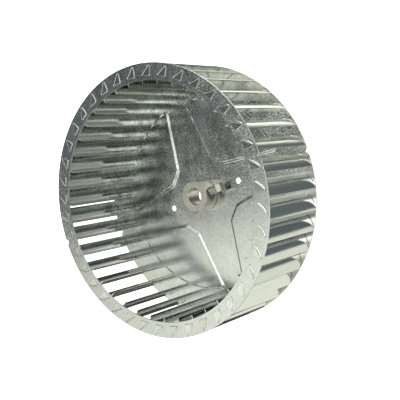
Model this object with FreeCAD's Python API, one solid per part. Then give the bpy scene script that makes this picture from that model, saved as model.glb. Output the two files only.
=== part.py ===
import FreeCAD, Part

# Blower wheel of sheet steel, single inlet, with forward-curved blades.
# The axis is vertical and the inlet is up. The wheel stands on the folded tabs of its back plate,
# with Z 0 under those tabs. X runs along the flat arm of the back plate that the set screw lies over.
# Seen from the inlet, angles run anticlockwise from X and the wheel turns clockwise.
# All sizes are in millimetres, and all angles in degrees.

import math
import os

# Wheel
WHEEL_DIAMETER = 250.0
WHEEL_WIDTH = 79.4  # front face of the ring to rear face of the back plate
RING_WIDTH = 15.0  # rim to inner edge of the front ring
RING_SHEET = 1.2
PLATE_SHEET = 1.2

# Blades
BLADE_COUNT = 40
BLADE_SHEET = 0.8
BLADE_SWEEP = 87.5  # angle of the blade's arc, which starts radial at the inner edge
BLADE_LEAD = 3.65  # the inner edges stand this far inside the ring's inner edge
BLADE_RIM_GAP = 0.45  # the middle of the sheet ends this far inside the rim
BLADE_PHASE = 1.0  # angle from X to the inner edge of the first blade

# Slots and folded tabs
SLOT_RIM_MARGIN = 2.4  # rim to the outer end of a slot
SLOT_EYE_MARGIN = 4.0  # inner edge of the ring to the inner end of a slot
SLOT_GAP = 0.3  # clearance all round a tab in its slot
FLAP_OVERHANG = 0.8  # the folded flap runs this far past the outer end of its slot
FLAP_DROP = 0.6  # and its free corner lies this far inside the inner end
TAB_CORNER_TRIM = 1.4  # the free corner is trimmed by this much along both edges

# Index notches in the rims
NOTCH_WIDTH = 6.8
NOTCH_DEPTH = 3.1

# Raised petals of the back plate, and the flat arms between them
PETAL_COUNT = 4
PETAL_HEIGHT = 1.4
PETAL_WALL = 1.2  # width of the sloping wall, seen along the axis
PETAL_RIM_MARGIN = 19.4  # outer edge of a petal to the inner ends of the slots
PETAL_INNER_DISTANCE = 38.2  # wheel axis to the straight inner edge of a petal
PETAL_INNER_WIDTH = 16.9
PETAL_CORNER_RADIUS = 3.0
ARM_TIP_WIDTH = 23.0  # flat arm between two petals, at their outer corners

# Two holes through the back plate
PLATE_HOLE_SPACING = 86.4
PLATE_HOLE_DIAMETER = 5.9

# Hub
HUB_DIAMETER = 30.5
HUB_STANDOUT = 16.8  # front face of the plate to front face of the hub
BORE_DIAMETER = 15.88
BORE_CHAMFER = 0.6
HUB_CHAMFER = 0.5
SPIGOT_WALL = 3.2  # wall of the spigot that goes through the plate
SPIGOT_GAP = 0.1
LIP_REACH = 1.4  # the staked lip grips this much of the plate round its hole
LIP_THICKNESS = 0.6
COUNTERSINK_DEPTH = 1.5

# Set screw
SCREW_SETBACK = 8.0  # front face of the hub to the screw's axis
SCREW_DIAMETER = 7.94
SCREW_GAP = 0.12  # clearance of the screw in its hole
SCREW_SHOWING = 9.3  # length between the hub and the head
SCREW_TIP_INSET = 0.3  # the tip stays this far outside the bore
SCREW_TIP_CHAMFER = 1.1
HEAD_ACROSS_FLATS = 7.94
HEAD_HEIGHT = 5.95
HEAD_CHAMFER_ANGLE = 30.0
HEAD_ROLL = 3.0

AXIS = FreeCAD.Vector(0, 0, 1)
CENTRE = FreeCAD.Vector(0, 0, 0)
OVERRUN = 2.0  # how far a cutting tool runs past what it cuts

# Levels along the axis
plate_rear = BLADE_SHEET
plate_front = plate_rear + PLATE_SHEET
ring_front = plate_rear + WHEEL_WIDTH
ring_rear = ring_front - RING_SHEET
tab_top = ring_front + BLADE_SHEET
hub_front = plate_front + HUB_STANDOUT
screw_level = hub_front - SCREW_SETBACK

# Radii about the axis
rim_radius = WHEEL_DIAMETER / 2
eye_radius = rim_radius - RING_WIDTH
slot_outer_radius = rim_radius - SLOT_RIM_MARGIN
slot_inner_radius = eye_radius + SLOT_EYE_MARGIN
petal_outer_radius = slot_inner_radius - PETAL_RIM_MARGIN
hub_radius = HUB_DIAMETER / 2
bore_radius = BORE_DIAMETER / 2
spigot_radius = bore_radius + SPIGOT_WALL
screw_radius = SCREW_DIAMETER / 2

# The blade's arc starts at blade_start on the local X axis, where it is radial, and bends
# clockwise about a centre blade_curve below that point, until it reaches blade_end_radius.
blade_start = eye_radius - BLADE_LEAD
blade_end_radius = rim_radius - BLADE_RIM_GAP
sweep_sine = math.sin(math.radians(BLADE_SWEEP))
sweep_drop = 1 - math.cos(math.radians(BLADE_SWEEP))
radial_reach = blade_end_radius**2 - blade_start**2
blade_curve = (
    math.sqrt((blade_start * sweep_sine) ** 2 + 2 * sweep_drop * radial_reach)
    - blade_start * sweep_sine
) / (2 * sweep_drop)
arc_centre = FreeCAD.Vector(blade_start, -blade_curve, 0)


def point(x, y, z=0.0):
    return FreeCAD.Vector(x, y, z)


def polar(radius, degrees, z=0.0):
    angle = math.radians(degrees)
    return point(radius * math.cos(angle), radius * math.sin(angle), z)


def polygon(points):
    return Part.Face(Part.makePolygon(points + points[:1]))


def ring_of(shape, count, first=0.0):
    """Copies of a shape, spread evenly round the wheel's axis."""
    copies = []
    for index in range(count):
        copy = shape.copy()
        copy.rotate(CENTRE, AXIS, first + index * 360.0 / count)
        copies.append(copy)
    return copies


def sweep_at_radius(radius):
    """Angle along the blade's arc at which the arc is this far from the wheel's axis."""
    across = 2 * blade_start * blade_curve
    along = 2 * blade_curve**2
    rise = radius**2 - blade_start**2 - along
    return math.degrees(math.asin(rise / math.hypot(across, along)) + math.atan2(along, across))


def on_arc(sweep, offset=0.0):
    """Point on the blade's arc, or beside it by an offset towards the convex side."""
    angle = math.radians(sweep)
    radius = blade_curve + offset
    return arc_centre + point(radius * math.sin(angle), radius * math.cos(angle))


def swept_band(section, start, end):
    """Turns a section, drawn with X as distance from the arc's centre, along part of the arc."""
    band = section.revolve(CENTRE, AXIS, end - start)
    band.rotate(CENTRE, AXIS, 90 - end)
    band.translate(arc_centre)
    return band


def band_section(half_thickness, low, high):
    inner = blade_curve - half_thickness
    outer = blade_curve + half_thickness
    corners = [point(inner, 0, low), point(outer, 0, low), point(outer, 0, high), point(inner, 0, high)]
    return polygon(corners)


tab_start = sweep_at_radius(slot_inner_radius)
tab_end = sweep_at_radius(slot_outer_radius)


def make_flap(level):
    """The part of a tab that lies flat on the sheet, towards the blade's hollow side."""
    inside = -BLADE_SHEET / 2
    inner_end = on_arc(tab_start, inside)
    outer_end = on_arc(tab_end, inside)
    outer_radius = math.hypot(outer_end.x, outer_end.y)
    outer_angle = math.degrees(math.atan2(outer_end.y, outer_end.x) - FLAP_OVERHANG / outer_radius)
    shoulder = polar(outer_radius, outer_angle)
    corner = polar(math.hypot(inner_end.x, inner_end.y) - FLAP_DROP, outer_angle)
    inner_trim = corner + (inner_end - corner).normalize() * TAB_CORNER_TRIM
    outer_trim = corner + (shoulder - corner).normalize() * TAB_CORNER_TRIM
    fold_line = Part.Arc(on_arc(tab_start), on_arc((tab_start + tab_end) / 2), on_arc(tab_end))
    free_edge = [on_arc(tab_end), outer_end, shoulder, outer_trim, inner_trim, inner_end, on_arc(tab_start)]
    edges = [fold_line.toShape()] + Part.makePolygon(free_edge).Edges
    flap = Part.Face(Part.Wire(edges)).extrude(point(0, 0, BLADE_SHEET))
    flap.translate(point(0, 0, level))
    return flap


def make_blade():
    half = BLADE_SHEET / 2
    body = swept_band(band_section(half, plate_front, ring_rear), 0, BLADE_SWEEP)
    tabs = swept_band(band_section(half, 0, tab_top), tab_start, tab_end)
    blade = body.fuse([tabs, make_flap(0), make_flap(ring_front)])
    return blade.removeSplitter()


def slot_tools(low, high):
    """Cutting tools for every slot in one sheet."""
    gap_angle = math.degrees(SLOT_GAP / blade_curve)
    section = band_section(BLADE_SHEET / 2 + SLOT_GAP, low - OVERRUN, high + OVERRUN)
    tool = swept_band(section, tab_start - gap_angle, tab_end + gap_angle)
    return ring_of(tool, BLADE_COUNT, BLADE_PHASE)


def notch_tools(low, high):
    """Cutting tools for the two index notches, which narrow to a point at their depth."""
    spread = (NOTCH_DEPTH + OVERRUN) * NOTCH_WIDTH / (2 * NOTCH_DEPTH)
    far = rim_radius + OVERRUN
    bottom = low - OVERRUN
    outline = polygon(
        [
            point(rim_radius - NOTCH_DEPTH, 0, bottom),
            point(far, spread, bottom),
            point(far, -spread, bottom),
        ]
    )
    tool = outline.extrude(point(0, 0, high - low + 2 * OVERRUN))
    return ring_of(tool, 2)


def drilled(radius, x, low, high):
    return Part.makeCylinder(radius, high - low + 2 * OVERRUN, point(x, 0, low - OVERRUN))


def make_front_ring():
    ring = Part.makeCylinder(rim_radius, RING_SHEET, point(0, 0, ring_rear))
    tools = [drilled(eye_radius, 0, ring_rear, ring_front)]
    tools += notch_tools(ring_rear, ring_front)
    tools += slot_tools(ring_rear, ring_front)
    return ring.cut(tools)


def petal_outline(inset, level):
    """Outline of one petal about the local X axis, set in from its foot by an inset."""
    corner_radius = PETAL_CORNER_RADIUS - inset
    outer_radius = petal_outer_radius - inset
    inner_x = PETAL_INNER_DISTANCE + inset
    half_pitch = 180.0 / PETAL_COUNT
    tip_angle = half_pitch - math.degrees(math.asin(ARM_TIP_WIDTH / 2 / petal_outer_radius))
    inner_corner = point(PETAL_INNER_DISTANCE, PETAL_INNER_WIDTH / 2)
    outer_corner = polar(petal_outer_radius, tip_angle)
    side = (outer_corner - inner_corner).normalize()
    outward = point(-side.y, side.x)
    side_distance = outward.dot(inner_corner) - inset - corner_radius

    inner_x_centre = inner_x + corner_radius
    inner_centre = point(inner_x_centre, (side_distance - outward.x * inner_x_centre) / outward.y)
    run = math.sqrt((outer_radius - corner_radius) ** 2 - side_distance**2)
    outer_centre = outward * side_distance + side * run
    outer_direction = point(outer_centre.x, outer_centre.y).normalize()

    inner_start = inner_centre + point(-corner_radius, 0)
    inner_middle = inner_centre + (outward + point(-1, 0)).normalize() * corner_radius
    side_start = inner_centre + outward * corner_radius
    side_end = outer_centre + outward * corner_radius
    outer_middle = outer_centre + (outward + outer_direction).normalize() * corner_radius
    rim_start = outer_centre + outer_direction * corner_radius

    def mirrored(p):
        return point(p.x, -p.y)

    edges = [
        Part.Arc(inner_start, inner_middle, side_start).toShape(),
        Part.makeLine(side_start, side_end),
        Part.Arc(side_end, outer_middle, rim_start).toShape(),
        Part.Arc(rim_start, point(outer_radius, 0), mirrored(rim_start)).toShape(),
        Part.Arc(mirrored(rim_start), mirrored(outer_middle), mirrored(side_end)).toShape(),
        Part.makeLine(mirrored(side_end), mirrored(side_start)),
        Part.Arc(mirrored(side_start), mirrored(inner_middle), mirrored(inner_start)).toShape(),
        Part.makeLine(mirrored(inner_start), inner_start),
    ]
    outline = Part.Wire(edges)
    outline.translate(point(0, 0, level))
    return outline


def petals_from(level):
    """The raised forms above a level, with sloping walls."""
    foot = petal_outline(0, level)
    top = petal_outline(PETAL_WALL, level + PETAL_HEIGHT)
    petal = Part.makeLoft([foot, top], True, True)
    return ring_of(petal, PETAL_COUNT, 180.0 / PETAL_COUNT)


def make_back_plate():
    """A stamped disc: its rear face follows its front face, one sheet thickness behind it."""
    disc = Part.makeCylinder(rim_radius, PLATE_SHEET, point(0, 0, plate_rear))
    plate = disc.fuse(petals_from(plate_front)).cut(petals_from(plate_rear))
    top = plate_front + PETAL_HEIGHT
    tools = [drilled(spigot_radius + SPIGOT_GAP, 0, plate_rear, top)]
    for side in (-1, 1):
        tools.append(drilled(PLATE_HOLE_DIAMETER / 2, side * PLATE_HOLE_SPACING / 2, plate_rear, top))
    tools += notch_tools(plate_rear, plate_front)
    tools += slot_tools(plate_rear, plate_front)
    return plate.cut(tools).removeSplitter()


def make_hub():
    """A turned hub, seated on the plate by its shoulder and held by its staked lip."""
    lip_bottom = plate_rear - LIP_THICKNESS
    lip_radius = spigot_radius + SPIGOT_GAP + LIP_REACH
    profile = polygon(
        [
            point(bore_radius, 0, lip_bottom + COUNTERSINK_DEPTH),
            point(bore_radius + COUNTERSINK_DEPTH, 0, lip_bottom),
            point(lip_radius - LIP_THICKNESS, 0, lip_bottom),
            point(lip_radius, 0, plate_rear - LIP_THICKNESS / 2),
            point(lip_radius, 0, plate_rear),
            point(spigot_radius, 0, plate_rear),
            point(spigot_radius, 0, plate_front),
            point(hub_radius, 0, plate_front),
            point(hub_radius, 0, hub_front - HUB_CHAMFER),
            point(hub_radius - HUB_CHAMFER, 0, hub_front),
            point(bore_radius + BORE_CHAMFER, 0, hub_front),
            point(bore_radius, 0, hub_front - BORE_CHAMFER),
        ]
    )
    hub = profile.revolve(CENTRE, AXIS, 360)
    screw_hole = Part.makeCylinder(
        screw_radius + SCREW_GAP, hub_radius + OVERRUN, point(0, 0, screw_level), point(1, 0, 0)
    )
    return hub.cut(screw_hole)


def make_set_screw():
    """Square-head set screw along X, drawn from its tip at local Z 0 and then laid over."""
    tip = bore_radius + SCREW_TIP_INSET
    head_start = hub_radius + SCREW_SHOWING - tip
    head_end = head_start + HEAD_HEIGHT
    shank = polygon(
        [
            point(0, 0, 0),
            point(screw_radius - SCREW_TIP_CHAMFER, 0, 0),
            point(screw_radius, 0, SCREW_TIP_CHAMFER),
            point(screw_radius, 0, head_start + OVERRUN),
            point(0, 0, head_start + OVERRUN),
        ]
    ).revolve(CENTRE, AXIS, 360)
    half = HEAD_ACROSS_FLATS / 2
    corner = half * math.sqrt(2)
    drop = (corner - half) * math.tan(math.radians(HEAD_CHAMFER_ANGLE))
    crown = polygon(
        [
            point(0, 0, head_start),
            point(corner, 0, head_start),
            point(corner, 0, head_end - drop),
            point(half, 0, head_end),
            point(0, 0, head_end),
        ]
    ).revolve(CENTRE, AXIS, 360)
    block = Part.makeBox(HEAD_ACROSS_FLATS, HEAD_ACROSS_FLATS, HEAD_HEIGHT, point(-half, -half, head_start))
    block.rotate(CENTRE, AXIS, HEAD_ROLL)
    screw = shank.fuse(block.common(crown)).removeSplitter()
    screw.rotate(CENTRE, point(0, 1, 0), 90)
    screw.translate(point(tip, 0, screw_level))
    return screw


def save(name, shape):
    if len(shape.Solids) == 1:
        shape = shape.Solids[0]
    shape.exportStep(os.path.join("parts", name + ".step"))


def main():
    os.makedirs("parts", exist_ok=True)
    save("front_ring", make_front_ring())
    save("back_plate", make_back_plate())
    save("hub", make_hub())
    save("set_screw", make_set_screw())
    for number, blade in enumerate(ring_of(make_blade(), BLADE_COUNT, BLADE_PHASE), start=1):
        save(f"blade_{number:02d}", blade)


main()
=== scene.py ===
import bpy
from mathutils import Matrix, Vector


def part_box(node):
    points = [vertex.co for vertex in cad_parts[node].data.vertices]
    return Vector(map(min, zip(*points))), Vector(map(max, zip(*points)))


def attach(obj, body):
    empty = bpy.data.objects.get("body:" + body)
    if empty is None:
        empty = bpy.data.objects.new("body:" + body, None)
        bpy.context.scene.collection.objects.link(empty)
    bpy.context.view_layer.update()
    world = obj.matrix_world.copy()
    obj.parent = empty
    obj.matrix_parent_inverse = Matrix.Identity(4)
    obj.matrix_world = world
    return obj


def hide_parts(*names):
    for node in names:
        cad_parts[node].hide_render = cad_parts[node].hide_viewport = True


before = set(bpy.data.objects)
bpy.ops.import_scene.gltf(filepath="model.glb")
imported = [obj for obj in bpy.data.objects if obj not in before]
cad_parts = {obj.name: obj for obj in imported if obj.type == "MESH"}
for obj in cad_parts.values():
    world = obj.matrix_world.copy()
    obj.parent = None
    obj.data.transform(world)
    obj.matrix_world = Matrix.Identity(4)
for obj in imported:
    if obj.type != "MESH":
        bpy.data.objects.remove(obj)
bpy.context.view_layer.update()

# Finish of a galvanised blower wheel: curved sheet blades whose tabs are folded over a slotted
# ring and a stamped back plate, a turned hub, and a square-head set screw with its thread.
# Lengths are in metres, on the frame's own axes: Z is the wheel's axis, and the set screw lies
# along X.

import math

import bmesh
import bpy
from mathutils import Matrix, Vector

MM = 0.001
WHEEL = "wheel"
SCREW = "screw"

# Sizes read from the frame

ring_low, ring_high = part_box("front_ring")
screw_low, screw_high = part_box("set_screw")
rim_radius = ring_high.y
ring_front = ring_high.z
ring_rear = ring_low.z
plate_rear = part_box("back_plate")[0].z
tab_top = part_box("blade_01")[1].z
blade_gauge = tab_top - ring_front
screw_axis_z = (screw_low.z + screw_high.z) / 2

# Sizes of the sheets, the blades and their tabs

PLATE_GAUGE = 1.2 * MM
RING_WIDTH = 15.0 * MM
BLADE_COUNT = 40
BLADE_SWEEP = math.radians(87.5)
BLADE_LEAD = 3.65 * MM  # the blades start this far inside the ring's eye
BLADE_RIM_GAP = 0.45 * MM  # and end this far inside its rim
BLADE_PHASE = math.radians(1.0)
SLOT_RIM_MARGIN = 2.4 * MM
SLOT_EYE_MARGIN = 4.0 * MM
FLAP_OVERHANG = 0.8 * MM
FLAP_DROP = 0.6 * MM
TAB_CORNER_TRIM = 1.4 * MM
TAB_CORNER_STEPS = 4

# Shape of the fold. Its profile gives shares of the way across and of the height.

NECK_SWELL = 0.22 * MM  # the folded neck fills its slot by this much on the convex side
NECK_RUN_IN = 2  # it reaches that over this many columns from each end of the tab
FOLD_PROFILE = ((0.0, 0.0), (0.05, 0.3), (0.25, 0.6), (0.6, 0.86), (0.9, 1.0), (1.0, 1.0))
END_BEND = 0.25 * MM  # reach of the fold at the two ends of a tab
LONGEST_BEND = 2.4  # reach past the tab's bulge at the most, in halves of the sheet
LEAST_LEAN = 0.2  # limits the reach where the tab's arc would run square to the fold
CREASE = 0.4 * MM  # the fold's ridge falls to the flap over this width
FLAP_FALL = 0.16 * MM  # and by this height
RIDGE_PROFILE = ((0.5, 0.7), (1.0, 1.0))  # with these shares of the two
FLAP_EDGE = 0.24 * MM  # the flap's free edges are eased over this width
FLAP_EDGE_FALL = 0.8 * FLAP_EDGE  # and by this height

# Fineness of the blades' mesh

BLADE_STEPS = (8, 16, 6)  # columns before, along and after the tabs
MERGE_DISTANCE = 1e-7
SMOOTH_ANGLE = math.radians(35)  # shading is smooth over edges up to this angle
BLADE_SMOOTH_ANGLE = math.radians(28)
THREAD_SMOOTH_ANGLE = math.radians(50)
BEVEL_ANGLE = math.radians(30)

plate_front = plate_rear + PLATE_GAUGE
eye_radius = rim_radius - RING_WIDTH
blade_start = eye_radius - BLADE_LEAD
blade_end = rim_radius - BLADE_RIM_GAP
sweep_sine = math.sin(BLADE_SWEEP)
sweep_drop = 1 - math.cos(BLADE_SWEEP)
blade_curve = (
    math.sqrt((blade_start * sweep_sine) ** 2 + 2 * sweep_drop * (blade_end**2 - blade_start**2))
    - blade_start * sweep_sine
) / (2 * sweep_drop)


def sweep_at_radius(radius):
    """Angle along a blade's arc where the arc is this far from the wheel's axis."""
    across = 2 * blade_start * blade_curve
    along = 2 * blade_curve**2
    rise = radius**2 - blade_start**2 - along
    return math.asin(rise / math.hypot(across, along)) + math.atan2(along, across)


tab_start = sweep_at_radius(eye_radius + SLOT_EYE_MARGIN)
tab_end = sweep_at_radius(rim_radius - SLOT_RIM_MARGIN)


def on_arc(sweep, offset, z):
    """Point on the blade's arc, or beside it by an offset towards the convex side."""
    radius = blade_curve + offset
    return Vector((blade_start + radius * math.sin(sweep), radius * math.cos(sweep) - blade_curve, z))


# Meshes


def new_object(name, mesh):
    piece = bpy.data.objects.new(name, mesh)
    bpy.context.collection.objects.link(piece)
    return piece


def finish_mesh(grid, name, smooth_angle=SMOOTH_ANGLE):
    """Writes a bmesh to a new object, with its faces outwards and smooth up to an angle."""
    bmesh.ops.remove_doubles(grid, verts=grid.verts, dist=MERGE_DISTANCE)
    bmesh.ops.recalc_face_normals(grid, faces=grid.faces)
    mesh = bpy.data.meshes.new(name)
    grid.to_mesh(mesh)
    grid.free()
    mesh.polygons.foreach_set("use_smooth", [True] * len(mesh.polygons))
    mesh.set_sharp_from_angle(angle=smooth_angle)
    return new_object(name, mesh)


def plain_copy(piece, name):
    """The piece with its modifiers applied, as a plain mesh of its own, in place of the piece."""
    graph = bpy.context.evaluated_depsgraph_get()
    mesh = bpy.data.meshes.new_from_object(piece.evaluated_get(graph))
    mesh.name = name
    bpy.data.objects.remove(piece)
    return new_object(name, mesh)


def bevelled(piece, width, segments, weighted=False):
    """Eases the piece's edges and keeps its flat faces flat to the light."""
    piece.data.polygons.foreach_set("use_smooth", [True] * len(piece.data.polygons))
    bevel = piece.modifiers.new("edges", "BEVEL")
    bevel.width = width
    bevel.segments = segments
    bevel.use_clamp_overlap = False
    bevel.limit_method = "WEIGHT" if weighted else "ANGLE"
    bevel.angle_limit = BEVEL_ANGLE
    flats = piece.modifiers.new("flats", "WEIGHTED_NORMAL")
    flats.mode = "FACE_AREA"
    flats.weight = 100  # the largest faces alone set the direction
    flats.keep_sharp = True
    return piece


def strip(grid, first, second):
    """Faces between two lines of vertices."""
    for i in range(len(first) - 1):
        grid.faces.new((first[i], first[i + 1], second[i + 1], second[i]))


def tube(grid, rings):
    """Faces between closed rings of vertices, and one over each end."""
    count = len(rings[0])
    for first, second in zip(rings, rings[1:]):
        for i in range(count):
            k = (i + 1) % count
            grid.faces.new((first[i], first[k], second[k], second[i]))
    grid.faces.new(rings[0])
    grid.faces.new(rings[-1])


# Blades


def one_blade():
    """One curved blade with its inner edge on the X axis, and a folded tab at each end."""
    grid = bmesh.new()
    half = blade_gauge / 2
    before, along, after = BLADE_STEPS
    sweeps = [tab_start * i / before for i in range(before)]
    sweeps += [tab_start + (tab_end - tab_start) * i / along for i in range(along)]
    sweeps += [tab_end + (BLADE_SWEEP - tab_end) * i / after for i in range(after + 1)]
    tab_columns = range(before, before + along + 1)

    def line(offset, z):
        return [grid.verts.new(on_arc(sweep, offset, z)) for sweep in sweeps]

    low_out = line(half, plate_front)
    low_in = line(-half, plate_front)
    high_out = line(half, ring_rear)
    high_in = line(-half, ring_rear)
    strip(grid, low_out, high_out)
    strip(grid, high_in, low_in)
    grid.faces.new((low_in[0], low_out[0], high_out[0], high_in[0]))
    grid.faces.new((low_out[-1], low_in[-1], high_in[-1], high_out[-1]))

    for outs, ins, face_level, top_level in (
        (high_out, high_in, ring_front, tab_top),
        (low_out, low_in, plate_rear, plate_rear - blade_gauge),
    ):
        for i in range(len(sweeps) - 1):
            if i not in tab_columns[:-1]:
                grid.faces.new((outs[i], outs[i + 1], ins[i + 1], ins[i]))
        fold_over(grid, sweeps, tab_columns, outs, ins, face_level, top_level)
    return finish_mesh(grid, "blade_form", BLADE_SMOOTH_ANGLE)


def flap_rim():
    """The flap's outline from the outer end of the tab round its free corner to the inner end."""
    half = blade_gauge / 2
    inner_end = on_arc(tab_start, -half, 0)
    outer_end = on_arc(tab_end, -half, 0)
    outer_radius = outer_end.length
    angle = math.atan2(outer_end.y, outer_end.x) - FLAP_OVERHANG / outer_radius
    direction = Vector((math.cos(angle), math.sin(angle), 0))
    shoulder = direction * outer_radius
    corner = direction * (inner_end.length - FLAP_DROP)
    inner_trim = corner + (inner_end - corner).normalized() * TAB_CORNER_TRIM
    outer_trim = corner + (shoulder - corner).normalized() * TAB_CORNER_TRIM
    rim = [outer_end, shoulder]
    for k in range(TAB_CORNER_STEPS + 1):
        t = k / TAB_CORNER_STEPS
        rim.append(outer_trim * (1 - t) ** 2 + corner * (2 * t * (1 - t)) + inner_trim * t**2)
    return rim + [inner_end]


def fold_rows(grid, sweeps, columns, outs, face_level, rise):
    """A row of vertices for each column of the tab: up its neck, round the fold and off its ridge."""
    half = blade_gauge / 2
    fall = math.copysign(FLAP_FALL, rise)
    first = on_arc(sweeps[columns[0]], half, 0)
    last = on_arc(sweeps[columns[-1]], half, 0)
    chord = (last - first).normalized()
    inward = Vector((chord.y, -chord.x, 0))
    if (on_arc((tab_start + tab_end) / 2, 0, 0) - first).dot(inward) > 0:
        inward = -inward
    rows = []
    for i in columns:
        from_end = min(i - columns[0], columns[-1] - i)
        base = on_arc(sweeps[i], half + NECK_SWELL * min(1.0, from_end / NECK_RUN_IN), 0)
        bulge = max(0.0, -(base - first).dot(inward))
        radial = (base - on_arc(sweeps[i], -half, 0)).normalized()
        lean = max(radial.dot(-inward), LEAST_LEAN)
        reach = min(bulge / lean + END_BEND, LONGEST_BEND * half + bulge)
        steps = [(reach * along, rise * height) for along, height in FOLD_PROFILE]
        steps += [(reach + CREASE * along, rise - fall * height) for along, height in RIDGE_PROFILE]
        row = [outs[i]]
        for along, height in steps:
            place = base - radial * along
            row.append(grid.verts.new((place.x, place.y, face_level + height)))
        rows.append(row)
    return rows


def fold_over(grid, sweeps, columns, outs, ins, face_level, top_level):
    """A tab: its neck through the slot, the fold with its ridge along a straight line, and the flap."""
    half = blade_gauge / 2
    rise = top_level - face_level
    rows = fold_rows(grid, sweeps, columns, outs, face_level, rise)
    for a, b in zip(rows, rows[1:]):
        for k in range(len(a) - 1):
            grid.faces.new((a[k], b[k], b[k + 1], a[k + 1]))

    under = [grid.verts.new(on_arc(sweeps[i], -half, face_level)) for i in columns]
    neck = [ins[i] for i in columns]
    strip(grid, neck, under)

    rim = flap_rim()
    free_rim = rim[1:-1]
    middle = sum(rim, Vector((0, 0, 0))) / len(rim)
    flap_level = top_level - math.copysign(FLAP_FALL, rise)
    edge_level = flap_level - math.copysign(FLAP_EDGE_FALL, rise)

    def line(points, z):
        return [grid.verts.new((point.x, point.y, z)) for point in points]

    edges = line(free_rim, edge_level)
    eased = line([point + (middle - point).normalized() * FLAP_EDGE for point in free_rim], flap_level)
    outer_end, inner_end = line((rim[0], rim[-1]), flap_level)
    bottoms = line(free_rim, face_level)
    strip(grid, eased, edges)
    strip(grid, edges, bottoms)
    grid.faces.new((outer_end, eased[0], edges[0]))
    grid.faces.new((inner_end, edges[-1], eased[-1]))
    grid.faces.new((outer_end, edges[0], bottoms[0], under[-1]))
    grid.faces.new((inner_end, under[0], bottoms[-1], edges[-1]))
    grid.faces.new([row[-1] for row in rows] + [outer_end] + eased + [inner_end])
    grid.faces.new(under + bottoms)
    grid.faces.new(rows[0] + [inner_end, under[0], neck[0]])
    grid.faces.new(rows[-1] + [outer_end, under[-1], neck[-1]])


# Node groups


def new_group(kind, name, inputs, outputs):
    """A node group with named sockets. Returns the group, its input node and its output node."""
    group = bpy.data.node_groups.new(name, kind)
    for socket_name, socket_kind, value in inputs:
        socket = group.interface.new_socket(name=socket_name, in_out="INPUT", socket_type=socket_kind)
        if value is not None:
            socket.default_value = value
    for socket_name, socket_kind in outputs:
        group.interface.new_socket(name=socket_name, in_out="OUTPUT", socket_type=socket_kind)
    return group, group.nodes.new("NodeGroupInput"), group.nodes.new("NodeGroupOutput")


def connect(tree, node, values):
    """Sets a node's first inputs to numbers and vectors, or links them to other nodes' outputs."""
    for socket, value in zip(node.inputs, values):
        if isinstance(value, (int, float, tuple, Vector)):
            socket.default_value = value
        else:
            tree.links.new(value, socket)


def math_node(tree, operation, first, second=0.0):
    node = tree.nodes.new("ShaderNodeMath")
    node.operation = operation
    connect(tree, node, (first, second))
    return node.outputs[0]


def vector_node(tree, operation, first, second=(0.0, 0.0, 0.0)):
    node = tree.nodes.new("ShaderNodeVectorMath")
    node.operation = operation
    connect(tree, node, (first, second))
    return node.outputs["Value" if operation == "DOT_PRODUCT" else "Vector"]


def scaled(tree, vector, factor, label=""):
    node = tree.nodes.new("ShaderNodeVectorMath")
    node.operation = "SCALE"
    node.label = label
    connect(tree, node, (vector,))
    tree.links.new(factor, node.inputs["Scale"])
    return node.outputs[0]


def noise(tree, vector, scale, detail=2.0, roughness=0.5, colour=False):
    node = tree.nodes.new("ShaderNodeTexNoise")
    node.inputs["Detail"].default_value = detail
    node.inputs["Roughness"].default_value = roughness
    if isinstance(scale, float):
        node.inputs["Scale"].default_value = scale
    else:
        tree.links.new(scale, node.inputs["Scale"])
    tree.links.new(vector, node.inputs["Vector"])
    return node.outputs["Color" if colour else "Fac"]


def spread(tree, value, low, high, new_low, new_high, smooth=False):
    """Maps a value from one range onto another and holds it there."""
    node = tree.nodes.new("ShaderNodeMapRange")
    if smooth:
        node.interpolation_type = "SMOOTHSTEP"
    connect(tree, node, (value, low, high, new_low, new_high))
    return node.outputs[0]


def mixed(tree, factor, first, second, blend="MIX"):
    node = tree.nodes.new("ShaderNodeMix")
    node.data_type = "RGBA"
    node.blend_type = blend
    for socket, value in ((node.inputs[0], factor), (node.inputs[6], first), (node.inputs[7], second)):
        if isinstance(value, float):
            socket.default_value = value
        elif isinstance(value, tuple):
            socket.default_value = (*value, 1.0)
        else:
            tree.links.new(value, socket)
    return node.outputs[2]


# All the blades, and the eased sheets

TONE_SEED = 5
PRESSED_EASE = 0.84 * MM  # the petals' bent edges, eased the widest
RIM_EASE = 0.4 * MM  # the sheared outer rims
CUT_EASE = 0.1 * MM  # slots, holes and the eye, and the blades' edges
BLADE_EASE_STEPS = 2
SHEET_EASE_STEPS = 4
SOLID_MERGE_DISTANCE = 2e-6  # the solids come as loose triangles
FLAT_ANGLE = math.radians(1)  # faces that turn less than this are one flat face
BENT_ANGLE = math.radians(20)  # edges that turn more than this are eased
RIM_BAND = 0.5 * MM
PETALS_FROM = 34 * MM  # the petals lie between these two distances from the axis
PETALS_TO = 97 * MM
HOLE_PLACE = 43.2 * MM  # the two holes lie this far out along X
HOLE_REACH = 3.5 * MM
UPRIGHT_SHARE = 0.9  # an edge that rises by this share of the sheet stands upright


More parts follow.
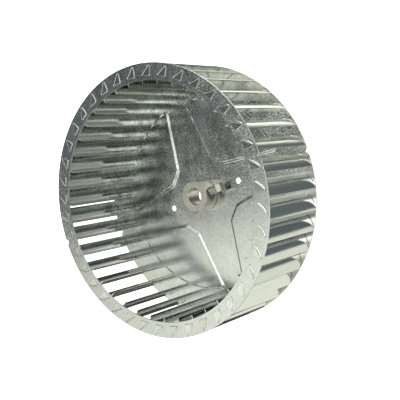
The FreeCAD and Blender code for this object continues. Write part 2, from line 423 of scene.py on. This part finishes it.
def blade_fan_tree():
    """Sets one blade round the wheel's axis, and gives each copy a tone of its own."""
    tree, given, result = new_group(
        "GeometryNodeTree",
        "blade_fan",
        [
            ("Blade", "NodeSocketObject", None),
            ("Count", "NodeSocketInt", BLADE_COUNT),
            ("First angle", "NodeSocketFloat", BLADE_PHASE),
            ("Tone seed", "NodeSocketInt", TONE_SEED),
            ("Material", "NodeSocketMaterial", None),
        ],
        [("Geometry", "NodeSocketGeometry")],
    )
    links = tree.links
    places = tree.nodes.new("GeometryNodePoints")
    links.new(given.outputs["Count"], places.inputs["Count"])
    index = tree.nodes.new("GeometryNodeInputIndex")
    pitch = math_node(tree, "DIVIDE", 2 * math.pi, given.outputs["Count"])
    turn = math_node(tree, "MULTIPLY", index.outputs[0], pitch)
    angle = math_node(tree, "ADD", turn, given.outputs["First angle"])
    rotation = tree.nodes.new("ShaderNodeCombineXYZ")
    links.new(angle, rotation.inputs["Z"])
    blade = tree.nodes.new("GeometryNodeObjectInfo")
    links.new(given.outputs["Blade"], blade.inputs["Object"])
    copies = tree.nodes.new("GeometryNodeInstanceOnPoints")
    links.new(places.outputs[0], copies.inputs["Points"])
    links.new(blade.outputs["Geometry"], copies.inputs["Instance"])
    links.new(rotation.outputs[0], copies.inputs["Rotation"])
    tone = tree.nodes.new("FunctionNodeRandomValue")
    tone.data_type = "FLOAT"
    links.new(given.outputs["Tone seed"], tone.inputs["Seed"])
    stored = tree.nodes.new("GeometryNodeStoreNamedAttribute")
    stored.data_type = "FLOAT"
    stored.domain = "INSTANCE"
    stored.inputs["Name"].default_value = "tone"
    links.new(copies.outputs[0], stored.inputs["Geometry"])
    links.new(tone.outputs[1], stored.inputs["Value"])
    real = tree.nodes.new("GeometryNodeRealizeInstances")
    links.new(stored.outputs[0], real.inputs[0])
    coated = tree.nodes.new("GeometryNodeSetMaterial")
    links.new(real.outputs[0], coated.inputs["Geometry"])
    links.new(given.outputs["Material"], coated.inputs["Material"])
    links.new(coated.outputs[0], result.inputs[0])
    return tree


def set_inputs(modifier, values):
    for item in modifier.node_group.interface.items_tree:
        if item.in_out == "INPUT" and item.name in values:
            modifier[item.identifier] = values[item.name]


def make_blades(material):
    """All the blades as one piece."""
    blade = plain_copy(bevelled(one_blade(), CUT_EASE, BLADE_EASE_STEPS), "blade_form")
    holder = new_object("blades", bpy.data.meshes.new("blades"))
    fan = holder.modifiers.new("fan", "NODES")
    fan.node_group = blade_fan_tree()
    set_inputs(fan, {"Blade": blade, "Material": material})
    blades = plain_copy(holder, "blades")
    bpy.data.objects.remove(blade)
    return blades


def on_petal(edge, middle):
    """True for the pressed edges of the raised petals, which lie inside the slots and off the holes."""
    upright = abs(edge.verts[0].co.z - edge.verts[1].co.z) > UPRIGHT_SHARE * PLATE_GAUGE
    near_hole = abs(middle.y) < HOLE_REACH and abs(abs(middle.x) - HOLE_PLACE) < HOLE_REACH
    return PETALS_FROM < math.hypot(middle.x, middle.y) < PETALS_TO and not near_hole and not upright


def ease_of(edge, petals):
    """How far a sheet's edge is eased, by where it lies."""
    middle = (edge.verts[0].co + edge.verts[1].co) / 2
    if petals and on_petal(edge, middle):
        return PRESSED_EASE
    if math.hypot(middle.x, middle.y) > rim_radius - RIM_BAND:
        return RIM_EASE
    return CUT_EASE


def sheet_copy(node, name, material, petals=False):
    """A sheet node with its edges eased: fine at the cut edges, wide along the pressed ones."""
    grid = bmesh.new()
    grid.from_mesh(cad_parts[node].data)
    bmesh.ops.remove_doubles(grid, verts=grid.verts, dist=SOLID_MERGE_DISTANCE)
    bmesh.ops.dissolve_limit(
        grid, angle_limit=FLAT_ANGLE, verts=grid.verts, edges=grid.edges, delimit={"NORMAL"}
    )
    weights = grid.edges.layers.float.new("bevel_weight_edge")
    for edge in grid.edges:
        if len(edge.link_faces) == 2 and edge.calc_face_angle(0) >= BENT_ANGLE:
            edge[weights] = ease_of(edge, petals) / PRESSED_EASE
    mesh = bpy.data.meshes.new(name)
    grid.to_mesh(mesh)
    grid.free()
    piece = bevelled(new_object(name, mesh), PRESSED_EASE, SHEET_EASE_STEPS, weighted=True)
    piece = plain_copy(piece, name)
    piece.data.materials.clear()
    piece.data.materials.append(material)
    return piece


# Set screw

SCREW_PITCH = 1.411 * MM
SCREW_RADIUS = 3.97 * MM
THREAD_DEPTH = 0.75 * MM
THREAD_SLOPE = 2.6  # the flanks fall by this many depths in one pitch
THREAD_CREST = 0.15  # and start this share of a depth late, which leaves the crest flat
TIP_CHAMFER = 1.1 * MM
THREAD_STEPS_AROUND = 48
THREAD_STEPS_ALONG = 12  # in each turn
HEAD_HEIGHT = 5.95 * MM
HEAD_ROLL = math.radians(3)
HEAD_ACROSS_FLATS = 7.94 * MM
HEAD_CORNER = 0.45 * MM
HEAD_EASE = 0.14 * MM
HEAD_EASE_STEPS = 2
CROWN_SHARE = 0.93  # the end circle's share of the distance to the flats
CROWN_ANGLE = math.radians(30)
FLAT_STEPS = 12
CORNER_STEPS = 6

head_start = screw_high.x - HEAD_HEIGHT


def make_shank(material):
    """The shank with its cut thread, along X from the tip to the head."""
    grid = bmesh.new()
    tip = screw_low.x
    length = head_start - tip
    steps = round(length / SCREW_PITCH * THREAD_STEPS_ALONG)
    rings = []
    for j in range(steps + 1):
        along = length * j / steps
        limit = SCREW_RADIUS - max(0.0, TIP_CHAMFER - along)
        ring = []
        for i in range(THREAD_STEPS_AROUND):
            turn = 2 * math.pi * i / THREAD_STEPS_AROUND
            phase = (along / SCREW_PITCH - i / THREAD_STEPS_AROUND) % 1.0
            depth = min(1.0, max(0.0, abs(phase - 0.5) * THREAD_SLOPE - THREAD_CREST))
            radius = min(limit, SCREW_RADIUS - THREAD_DEPTH * depth)
            y = radius * math.cos(turn)
            z = screw_axis_z + radius * math.sin(turn)
            ring.append(grid.verts.new((tip + along, y, z)))
        rings.append(ring)
    tube(grid, rings)
    shank = finish_mesh(grid, "set_screw_shank", THREAD_SMOOTH_ANGLE)
    shank.data.materials.append(material)
    return shank


def head_side():
    """Points along one flat and one corner of the head: out from the axis, and across."""
    half = HEAD_ACROSS_FLATS / 2
    flat_end = half - HEAD_CORNER
    points = [(half, -flat_end + 2 * flat_end * k / FLAT_STEPS) for k in range(FLAT_STEPS)]
    for k in range(CORNER_STEPS):
        turn = math.pi / 2 * k / CORNER_STEPS
        points.append((flat_end + HEAD_CORNER * math.cos(turn), flat_end + HEAD_CORNER * math.sin(turn)))
    return points


def make_screw_head(material):
    """The square head with eased corners and a chamfered end, along X."""
    grid = bmesh.new()
    crown_radius = HEAD_ACROSS_FLATS / 2 * CROWN_SHARE
    rings = [[], [], []]
    for side in range(4):
        turn = side * math.pi / 2 + HEAD_ROLL
        for out, across in head_side():
            y = out * math.cos(turn) - across * math.sin(turn)
            z = out * math.sin(turn) + across * math.cos(turn)
            radius = math.hypot(y, z)
            drop = (radius - crown_radius) * math.tan(CROWN_ANGLE)
            places = (
                (head_start, 1.0),
                (screw_high.x - drop, 1.0),
                (screw_high.x, crown_radius / radius),
            )
            for ring, (x, share) in zip(rings, places):
                ring.append(grid.verts.new((x, y * share, screw_axis_z + z * share)))
    tube(grid, rings)
    head = bevelled(finish_mesh(grid, "set_screw_head"), HEAD_EASE, HEAD_EASE_STEPS)
    head = plain_copy(head, "set_screw_head")
    head.data.materials.append(material)
    return head


# Galvanised sheet

NOISE_MIDDLE = (0.3, 0.7)  # most of a noise's values lie between these two
CLOUD_RANGE = (0.35, 0.62)
MIDDLE_GREY = (0.5, 0.5, 0.5)  # a noise's colours vary about it
SPECK_TONES = ((0.63, 0.63, 0.63), (1.22, 1.22, 1.22))
CLOUD_TONES = ((0.6, 0.59, 0.58), (1.1, 1.14, 1.11))
DARKEST_BLADE = (0.84, 0.84, 0.84)
MOTTLE_SHADE_FROM = -30 * MM  # along Y, the grey mottle grows from the lower half to the upper one, a painted shade that darkens the upper half
MOTTLE_SHADE_TO = 10 * MM
LEAST_MOTTLE_SHADE = 0.2
GLOSS_BELOW = 0.04  # the mottle makes the sheet this much smoother
GLOSS_ABOVE = 0.06  # or this much rougher
EVEN = (1.0, 1.0, 1.0)
STREAKS = (1.0, 1.0, 0.1)  # draws the pattern out along the wheel's axis


def new_material(name):
    """A material with nodes. Returns it with its node tree and its shader."""
    material = bpy.data.materials.new(name)
    material.use_nodes = True
    return material, material.node_tree, material.node_tree.nodes["Principled BSDF"]


def spangle_group():
    """Zinc spangle: crystals of slightly different tone and tilt, with a fine mottle over them."""
    group, given, result = new_group(
        "ShaderNodeTree",
        "zinc_spangle",
        [
            ("Crystal scale", "NodeSocketFloat", 160.0),
            ("Mottle scale", "NodeSocketFloat", 900.0),
            ("Cloud scale", "NodeSocketFloat", 60.0),
            ("Tilt", "NodeSocketFloat", 0.03),
            ("Along", "NodeSocketVector", EVEN),
        ],
        [
            ("Tone", "NodeSocketFloat"),
            ("Mottle", "NodeSocketFloat"),
            ("Cloud", "NodeSocketFloat"),
            ("Normal", "NodeSocketVector"),
        ],
    )
    links = group.links
    own = group.nodes.new("ShaderNodeTexCoord").outputs["Object"]
    place = vector_node(group, "MULTIPLY", own, given.outputs["Along"])
    cells = group.nodes.new("ShaderNodeTexVoronoi")
    links.new(place, cells.inputs["Vector"])
    links.new(given.outputs["Crystal scale"], cells.inputs["Scale"])
    tone = group.nodes.new("ShaderNodeSeparateColor")
    links.new(cells.outputs["Color"], tone.inputs[0])
    links.new(tone.outputs[0], result.inputs["Tone"])
    fine = noise(group, place, given.outputs["Mottle scale"], detail=3.0, roughness=0.65)
    links.new(spread(group, fine, *NOISE_MIDDLE, 0.0, 1.0), result.inputs["Mottle"])
    broad = noise(group, place, given.outputs["Cloud scale"], detail=5.0, roughness=0.65)
    links.new(spread(group, broad, *CLOUD_RANGE, 0.0, 1.0), result.inputs["Cloud"])

    grit = noise(group, place, given.outputs["Mottle scale"], roughness=0.6, colour=True)
    centred = vector_node(group, "SUBTRACT", grit, MIDDLE_GREY)
    tilt = scaled(group, centred, given.outputs["Tilt"])
    facing = group.nodes.new("ShaderNodeNewGeometry").outputs["Normal"]
    tilted = vector_node(group, "ADD", facing, tilt)
    links.new(vector_node(group, "NORMALIZE", tilted), result.inputs["Normal"])
    return group


def galvanised(
    name, spangle, dark, light, gloss, crystal, mottle, tilt, along=EVEN, grain=1.0, varied=False
):
    """Galvanised sheet between two tones, with a grey mottle that grows towards +Y as painted shade.
    Varied gives each blade its own tone.
    """
    material, tree, shader = new_material(name)
    pattern = tree.nodes.new("ShaderNodeGroup")
    pattern.node_tree = spangle
    pattern.inputs["Crystal scale"].default_value = crystal
    pattern.inputs["Mottle scale"].default_value = mottle
    pattern.inputs["Along"].default_value = along
    base = mixed(tree, pattern.outputs["Tone"], dark, light)
    if varied:
        tone = tree.nodes.new("ShaderNodeAttribute")
        tone.attribute_name = "tone"
        darkest = mixed(tree, 1.0, base, DARKEST_BLADE, "MULTIPLY")
        base = mixed(tree, tone.outputs["Fac"], base, darkest)
    place = tree.nodes.new("ShaderNodeSeparateXYZ")
    tree.links.new(tree.nodes.new("ShaderNodeTexCoord").outputs["Object"], place.inputs[0])
    # the mottle is the zinc's own; its growth towards +Y darkens the upper half as painted shade
    mottle_and_shade = spread(tree, place.outputs["Y"], MOTTLE_SHADE_FROM, MOTTLE_SHADE_TO, LEAST_MOTTLE_SHADE, 1.0)
    tree.links.new(math_node(tree, "MULTIPLY", mottle_and_shade, tilt), pattern.inputs["Tilt"])
    speck = mixed(tree, pattern.outputs["Mottle"], *SPECK_TONES)
    cloud = mixed(tree, pattern.outputs["Cloud"], *CLOUD_TONES)
    grey = mixed(tree, 1.0, speck, cloud, "MULTIPLY")
    colour = mixed(tree, math_node(tree, "MULTIPLY", mottle_and_shade, grain), base, grey, "MULTIPLY")
    tree.links.new(colour, shader.inputs["Base Color"])
    rough = spread(tree, pattern.outputs["Mottle"], 0.0, 1.0, gloss - GLOSS_BELOW, gloss + GLOSS_ABOVE)
    tree.links.new(rough, shader.inputs["Roughness"])
    tree.links.new(pattern.outputs["Normal"], shader.inputs["Normal"])
    shader.inputs["Metallic"].default_value = 1.0
    return material


# Turned and plated steel

STEEL_CLOUD_SCALE = 220.0
STEEL_CLOUD_RANGE = (0.35, 0.7)
STEEL_CLOUD_SHADE = 0.8
STEEL_GRAIN_SCALE = 1800.0
STEEL_GRAIN_HEIGHT = 0.05 * MM
STEEL_GRAIN_STRENGTH = 0.15
STEEL_GLOSS_BELOW = 0.05
STEEL_GLOSS_ABOVE = 0.08
# share of the steel's colour left under painted shade
PAINTED_SHADE_TONE = 0.22
CORNER_SHADE_HEIGHTS = (0.5 * MM, 1.1 * MM)  # above the plate, painted shade in the corner fades out between these heights
SCREW_SHADOW_DROP = 2.6 * MM  # the screw's painted shadow centres this far below it
SCREW_SHADOW_REACH = (5.0 * MM, 7.5 * MM)  # and fades out between these distances from there
SCREW_SIDE = (8 * MM, 11 * MM)  # on the hub's side that the screw is on
SCREW_SHADOW_SHARE = 0.9
THREAD_SHADE_REACH = (3.35 * MM, 3.75 * MM)  # from the screw's axis, painted shade in the grooves fades out up the thread
HEAD_END_FROM = 0.3 * MM  # the head's end face is painted dark as shade from this far in
HEAD_END_TO = 0.15 * MM
HEAD_END_SHADE_SHARE = 0.8


def shaded(colour, share):
    return tuple(channel * share for channel in colour)


def turned_steel(name, colour, gloss, painted_shade_mask):
    """Turned and plated steel, darkened by painted shade where the mask is set."""
    material, tree, shader = new_material(name)
    place = tree.nodes.new("ShaderNodeTexCoord").outputs["Object"]
    axes = tree.nodes.new("ShaderNodeSeparateXYZ")
    tree.links.new(place, axes.inputs[0])
    cloud = noise(tree, place, STEEL_CLOUD_SCALE, detail=3.0)
    cloudy = spread(tree, cloud, *STEEL_CLOUD_RANGE, 0.0, 1.0)
    tint = mixed(tree, cloudy, colour, shaded(colour, STEEL_CLOUD_SHADE))
    # painted shade: where the mask is set, the colour turns to a dark copy of itself
    tint = mixed(tree, painted_shade_mask(tree, axes), tint, shaded(colour, PAINTED_SHADE_TONE))
    tree.links.new(tint, shader.inputs["Base Color"])
    grain = noise(tree, place, STEEL_GRAIN_SCALE)
    rough = spread(tree, grain, *NOISE_MIDDLE, gloss - STEEL_GLOSS_BELOW, gloss + STEEL_GLOSS_ABOVE)
    tree.links.new(rough, shader.inputs["Roughness"])
    bump = tree.nodes.new("ShaderNodeBump")
    bump.inputs["Strength"].default_value = STEEL_GRAIN_STRENGTH
    bump.inputs["Distance"].default_value = STEEL_GRAIN_HEIGHT
    tree.links.new(grain, bump.inputs["Height"])
    tree.links.new(bump.outputs[0], shader.inputs["Normal"])
    shader.inputs["Metallic"].default_value = 1.0
    return material


def distance_from_screw(tree, axes, drop=0.0):
    """Distance from the screw's axis, or from a line this far below it along Y."""
    across = math_node(tree, "ADD", axes.outputs["Y"], drop)
    above = math_node(tree, "SUBTRACT", axes.outputs["Z"], screw_axis_z)
    across_squared = math_node(tree, "MULTIPLY", across, across)
    above_squared = math_node(tree, "MULTIPLY", above, above)
    return math_node(tree, "SQRT", math_node(tree, "ADD", across_squared, above_squared))


def hub_painted_shade(tree, axes):
    """Painted shade in the corner with the plate, and a painted shadow round and under the set screw."""
    corner_from, corner_to = CORNER_SHADE_HEIGHTS
    # painted shade in the corner where the hub meets the plate
    corner = spread(tree, axes.outputs["Z"], plate_front + corner_from, plate_front + corner_to, 1.0, 0.0)
    # painted shadow of the set screw on the hub, below and round it
    near = spread(tree, distance_from_screw(tree, axes, SCREW_SHADOW_DROP), *SCREW_SHADOW_REACH, 1.0, 0.0)
    side = spread(tree, axes.outputs["X"], *SCREW_SIDE, 0.0, SCREW_SHADOW_SHARE)
    return math_node(tree, "MAXIMUM", corner, math_node(tree, "MULTIPLY", near, side))


def screw_painted_shade(tree, axes):
    """Painted shade in the thread's grooves, and on the end face of the head."""
    end_from = screw_high.x - HEAD_END_FROM
    end_to = screw_high.x - HEAD_END_TO
    # painted shade on the head's end face
    end = spread(tree, axes.outputs["X"], end_from, end_to, 0.0, HEAD_END_SHADE_SHARE)
    # painted shade in the thread's grooves
    groove = spread(tree, distance_from_screw(tree, axes), *THREAD_SHADE_REACH, 1.0, 0.0)
    return math_node(tree, "MAXIMUM", end, groove)


# The wheel

spangle = spangle_group()
ring_sheet = galvanised(
    "galvanised_ring",
    spangle,
    dark=(0.6, 0.61, 0.62),
    light=(0.66, 0.67, 0.68),
    gloss=0.19,
    crystal=650.0,
    mottle=900.0,
    tilt=0.27,
    grain=0.65,
)
plate_sheet = galvanised(
    "galvanised_plate",
    spangle,
    dark=(0.6, 0.61, 0.61),
    light=(0.67, 0.68, 0.68),
    gloss=0.16,
    crystal=600.0,
    mottle=900.0,
    tilt=0.24,
)
blade_sheet = galvanised(
    "galvanised_blade",
    spangle,
    dark=(0.66, 0.68, 0.66),
    light=(0.7, 0.72, 0.7),
    gloss=0.12,
    crystal=550.0,
    mottle=500.0,
    tilt=0.04,
    along=STREAKS,
    grain=0.15,
    varied=True,
)
hub_steel = turned_steel("plated_hub_steel", (0.64, 0.62, 0.56), 0.3, hub_painted_shade)
screw_steel = turned_steel("plated_screw_steel", (0.72, 0.71, 0.67), 0.24, screw_painted_shade)

blades = make_blades(blade_sheet)
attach(blades, WHEEL)
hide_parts(*[f"blade_{number:02d}" for number in range(1, BLADE_COUNT + 1)])

ring = sheet_copy("front_ring", "ring_sheet", ring_sheet)
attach(ring, WHEEL)
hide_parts("front_ring")

plate = sheet_copy("back_plate", "plate_sheet", plate_sheet, petals=True)
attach(plate, WHEEL)
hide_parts("back_plate")

for hub_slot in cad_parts["hub"].material_slots:
    hub_slot.material = hub_steel

shank = make_shank(screw_steel)
head = make_screw_head(screw_steel)
for piece in (shank, head):
    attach(piece, SCREW)
    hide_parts("set_screw")


# Studio: a white backdrop for the camera, and a dim room with a pale table side and panels of
# light, which the metal mirrors. Broad panels are even and end within a few degrees, and soft ones
# fade from their middle. Directions are azimuth from X towards Y, and elevation, in degrees.

FLOOR_SIZE = 6.0
TABLE_SIDE = Vector((-0.28, -0.95, 0.15))
TABLE_EDGE = (0.15, 0.27)  # how far towards the table side its pale area starts
TABLE_FOOT = (-0.2, 0.0)  # and how far up
TABLE_GLOW = (0.45, 0.45, 0.385)
ROOM_GLOW = (0.06, 0.07, 0.065)
EVERYWHERE, ON_TABLE, IN_ROOM = range(3)
SKYLIGHT_FULL = 10  # straight overhead the glow is dimmed, in full up to this angle
SKYLIGHT_END = 22  # and not at all past this one
SKYLIGHT_SHADE = 0.65
BROAD_PANELS = (  # name, azimuth, elevation, angle it is full to, angle it ends at, glow
    ("ceiling", 65, 76, 27, 37, (1.15, 1.15, 1.05)),
    ("floor_front", 290, -66, 23, 28, (1.0, 1.0, 0.85)),
    ("floor_back", 118, -66, 17, 26, (1.3, 1.3, 1.2)),
)
SOFT_PANELS = (  # name, side, azimuth, elevation, tightness, glow
    ("overhead", EVERYWHERE, 17, 62, 30, (2.2, 2.2, 2.1)),
    ("upper_right", IN_ROOM, 45, 32, 12, (0.8, 0.8, 0.8)),
    ("left_wall", IN_ROOM, 185, 38, 12, (0.17, 0.18, 0.21)),
    ("right", EVERYWHERE, 0, 10, 18, (2.7, 2.7, 2.5)),
    ("top_right", IN_ROOM, 50, 3, 14, (1.6, 1.6, 1.5)),
    ("top_strip", IN_ROOM, 78, 11, 14, (3.0, 3.2, 3.0)),
    ("low_back", EVERYWHERE, 85, -38, 8, (0.35, 0.35, 0.32)),
    ("low_front", EVERYWHERE, 0, -55, 14, (0.08, 0.1, 0.12)),
    ("low_left", EVERYWHERE, 165, -54, 30, (1.25, 1.3, 1.2)),
    ("table_far", ON_TABLE, 180, 66, 8, (0.9, 0.91, 0.79)),
    ("table_high", ON_TABLE, 250, 60, 20, (0.5, 0.5, 0.42)),
    ("table_front", ON_TABLE, 257, 10, 12, (1.2, 1.3, 1.2)),
    ("table_right", ON_TABLE, 320, 10, 12, (1.6, 1.8, 1.7)),
)
WHITE = (1.0, 1.0, 1.0)


def make_floor():
    """A plain white floor. Only the camera sees it, from above, so the metal doesn't mirror it."""
    grid = bmesh.new()
    half = FLOOR_SIZE / 2
    corners = [grid.verts.new((x * half, y * half, 0)) for x, y in ((-1, -1), (1, -1), (1, 1), (-1, 1))]
    grid.faces.new(corners)
    floor = finish_mesh(grid, "floor")
    material, tree, shader = new_material("white_backdrop")
    shader.inputs["Base Color"].default_value = (*WHITE, 1.0)
    shader.inputs["Emission Color"].default_value = (*WHITE, 1.0)
    shader.inputs["Emission Strength"].default_value = 1.0
    clear = tree.nodes.new("ShaderNodeBsdfTransparent")
    seen = tree.nodes.new("ShaderNodeMixShader")
    below = tree.nodes.new("ShaderNodeNewGeometry").outputs["Backfacing"]
    above = math_node(tree, "SUBTRACT", 1.0, below)
    looked_at = tree.nodes.new("ShaderNodeLightPath").outputs["Is Camera Ray"]
    tree.links.new(math_node(tree, "MULTIPLY", looked_at, above), seen.inputs[0])
    tree.links.new(clear.outputs[0], seen.inputs[1])
    tree.links.new(shader.outputs[0], seen.inputs[2])
    tree.links.new(seen.outputs[0], tree.nodes["Material Output"].inputs["Surface"])
    floor.data.materials.append(material)


def direction(azimuth, elevation):
    turn, rise = math.radians(azimuth), math.radians(elevation)
    return Vector((math.cos(rise) * math.cos(turn), math.cos(rise) * math.sin(turn), math.sin(rise)))


def cap(tree, nearness, full, end):
    """1 up to one angle from a direction, and 0 past another. Nearness is the angle's cosine."""
    return spread(
        tree, nearness, math.cos(math.radians(end)), math.cos(math.radians(full)), 0.0, 1.0, smooth=True
    )


def make_studio():
    world = bpy.data.worlds.new("studio")
    bpy.context.scene.world = world
    world.use_nodes = True
    tree = world.node_tree
    looking = tree.nodes.new("ShaderNodeTexCoord").outputs["Generated"]
    towards_table = vector_node(tree, "DOT_PRODUCT", looking, TABLE_SIDE)
    upwards = vector_node(tree, "DOT_PRODUCT", looking, Vector((0, 0, 1)))
    table = spread(tree, towards_table, *TABLE_EDGE, 0.0, 1.0, smooth=True)
    raised = spread(tree, upwards, *TABLE_FOOT, 0.0, 1.0, smooth=True)
    on_table = math_node(tree, "MULTIPLY", table, raised)
    in_room = math_node(tree, "SUBTRACT", 1.0, on_table)
    glow = vector_node(tree, "ADD", scaled(tree, TABLE_GLOW, on_table, "table"), ROOM_GLOW)
    for name, azimuth, elevation, full, end, colour in BROAD_PANELS:
        nearness = vector_node(tree, "DOT_PRODUCT", looking, direction(azimuth, elevation))
        lit = cap(tree, nearness, full, end)
        glow = vector_node(tree, "ADD", glow, scaled(tree, colour, lit, name))
    for name, side, azimuth, elevation, tightness, colour in SOFT_PANELS:
        nearness = vector_node(tree, "DOT_PRODUCT", looking, direction(azimuth, elevation))
        fall = math_node(tree, "MULTIPLY", math_node(tree, "SUBTRACT", nearness, 1.0), tightness)
        lit = math_node(tree, "EXPONENT", fall)
        if side == ON_TABLE:
            lit = math_node(tree, "MULTIPLY", lit, on_table)
        if side == IN_ROOM:
            lit = math_node(tree, "MULTIPLY", lit, in_room)
        glow = vector_node(tree, "ADD", glow, scaled(tree, colour, lit, name))
    skylight = cap(tree, upwards, SKYLIGHT_FULL, SKYLIGHT_END)
    kept = math_node(tree, "SUBTRACT", 1.0, math_node(tree, "MULTIPLY", skylight, SKYLIGHT_SHADE))
    glow = scaled(tree, glow, kept)
    looked_at = tree.nodes.new("ShaderNodeLightPath").outputs["Is Camera Ray"]
    background = tree.nodes["Background"]
    tree.links.new(mixed(tree, looked_at, glow, WHITE), background.inputs["Color"])
    background.inputs["Strength"].default_value = 1.0
    bpy.context.scene.view_settings.view_transform = "Standard"


make_floor()
make_studio()


# Camera, at the photo's viewing angle

CAMERA_PLACE = Vector((0.4410, -0.0865, 0.5819))
CAMERA_AHEAD = Vector((-0.6029, 0.0550, -0.7959))
CAMERA_UP = Vector((0.2818, 0.9480, -0.1480))
CAMERA_SENSOR = 36.0
CAMERA_LENS = 66.58
CAMERA_SHIFT = (-0.0520, 0.0977)
NEAREST_SEEN = 0.01
FARTHEST_SEEN = 20.0


def make_camera():
    data = bpy.data.cameras.new("camera")
    data.sensor_width = CAMERA_SENSOR
    data.lens = CAMERA_LENS
    data.shift_x, data.shift_y = CAMERA_SHIFT
    data.clip_start = NEAREST_SEEN
    data.clip_end = FARTHEST_SEEN
    camera = new_object("camera", data)
    back = -CAMERA_AHEAD.normalized()
    right = CAMERA_UP.cross(back).normalized()
    up = back.cross(right)
    turn = Matrix((right, up, back)).transposed()
    camera.matrix_world = Matrix.Translation(CAMERA_PLACE) @ turn.to_4x4()
    bpy.context.scene.camera = camera


make_camera()
